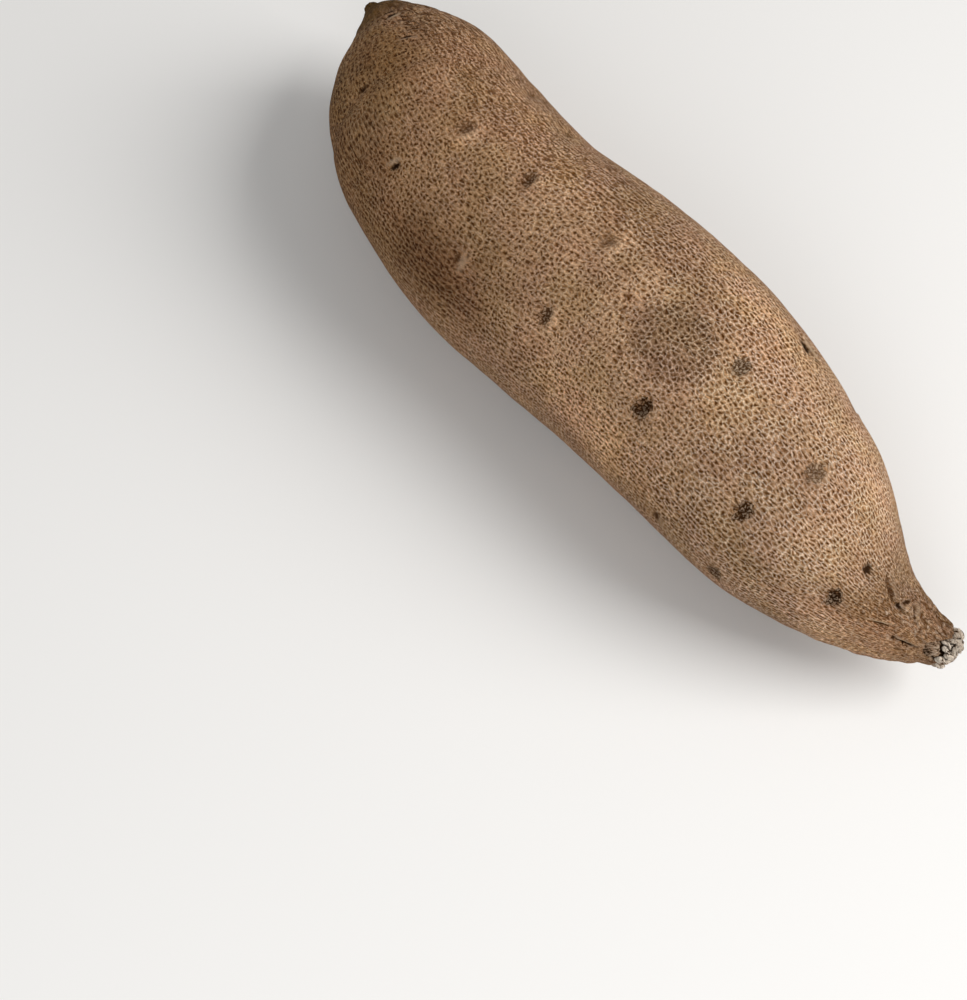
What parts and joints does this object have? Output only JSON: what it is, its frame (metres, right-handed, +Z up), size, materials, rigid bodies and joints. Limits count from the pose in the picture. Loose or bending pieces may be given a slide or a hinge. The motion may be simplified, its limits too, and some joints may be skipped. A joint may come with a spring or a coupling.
{
  "type": "whole white-fleshed sweet potato",
  "caption": "Whole raw root vegetable with a blunt crown, a gently bent plump body and a thin tail that ends in a torn corky stub.",
  "frame": {"origin": "on the table under the middle of the tuber's plan", "axes": "+X along the tuber from the blunt crown to the thin tail, +Z up from the belly it lies on"},
  "size_m": [0.2228, 0.0624, 0.0553],
  "materials": {
    "skin": "matte tan skin, finely pitted with short dark dashes, darker corky scars"
  },
  "bodies": {
    "root": {"sweet_potato": "skin"}
  },
  "joints": []
}
